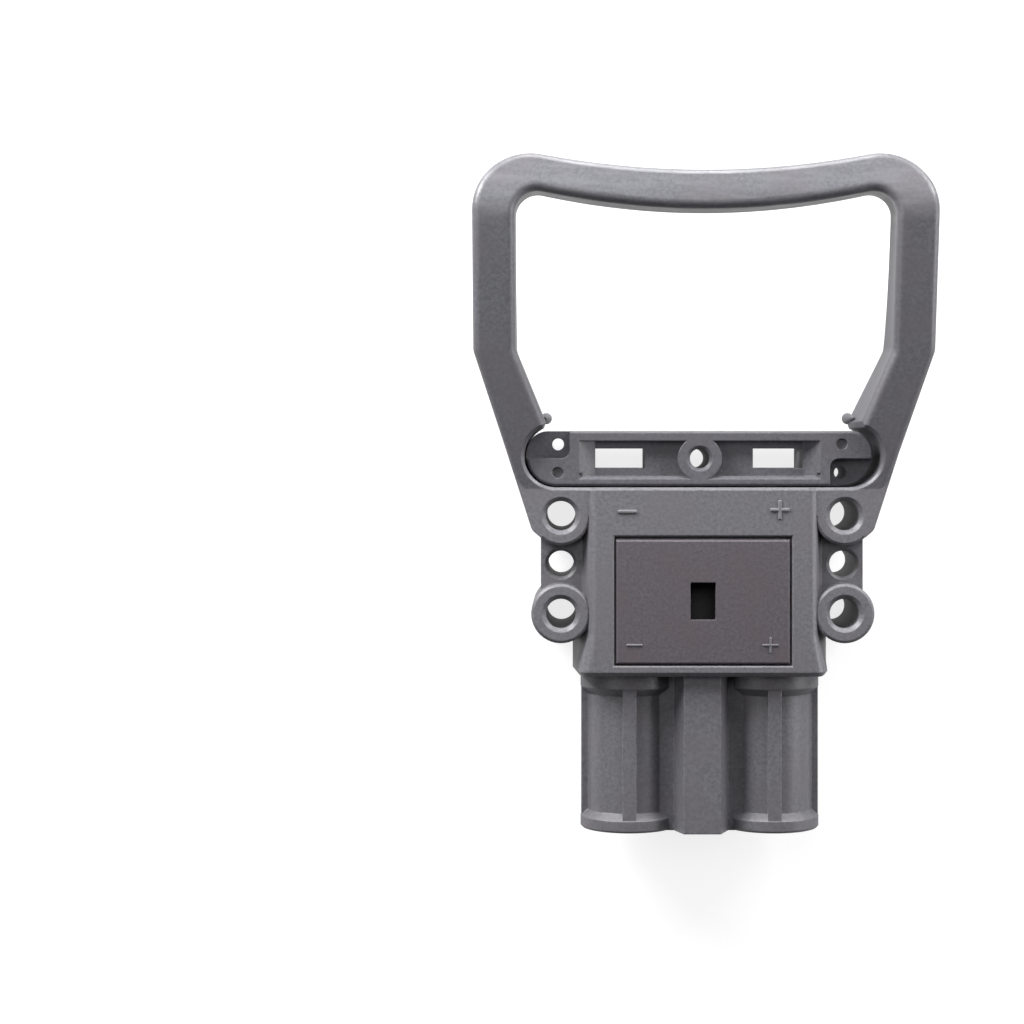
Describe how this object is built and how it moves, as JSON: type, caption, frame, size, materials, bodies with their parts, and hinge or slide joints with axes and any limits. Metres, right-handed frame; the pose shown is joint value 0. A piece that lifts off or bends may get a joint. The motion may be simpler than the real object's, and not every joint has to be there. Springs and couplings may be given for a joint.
{
  "type": "forklift battery connector",
  "caption": "Battery connector plug for an electric truck: flat body with fixing ears, round contact towers, a cable clamp and a large pull handle.",
  "frame": {"origin": "centre of the four fixing holes, on the flat back", "axes": "+Z out of the front, +Y towards the handle, the plug mates along -Y, +X towards the positive contact"},
  "size_m": [0.1308, 0.1937, 0.0505],
  "materials": {
    "housing_plastic": "fine moulded grain",
    "plate_plastic": "satin",
    "clamp_plastic": "satin",
    "coding_plastic": "satin",
    "contact_metal": "silver plated",
    "clip_steel": "spring steel"
  },
  "bodies": {
    "root": {"housing": "housing_plastic", "rating_plate": "plate_plastic", "coding_pin": "coding_plastic", "cable_clamp_front": "clamp_plastic", "cable_clamp_rear": "clamp_plastic", "contact_negative": "contact_metal", "contact_positive": "contact_metal", "contact_clip_negative": "clip_steel", "contact_clip_positive": "clip_steel"}
  },
  "joints": []
}
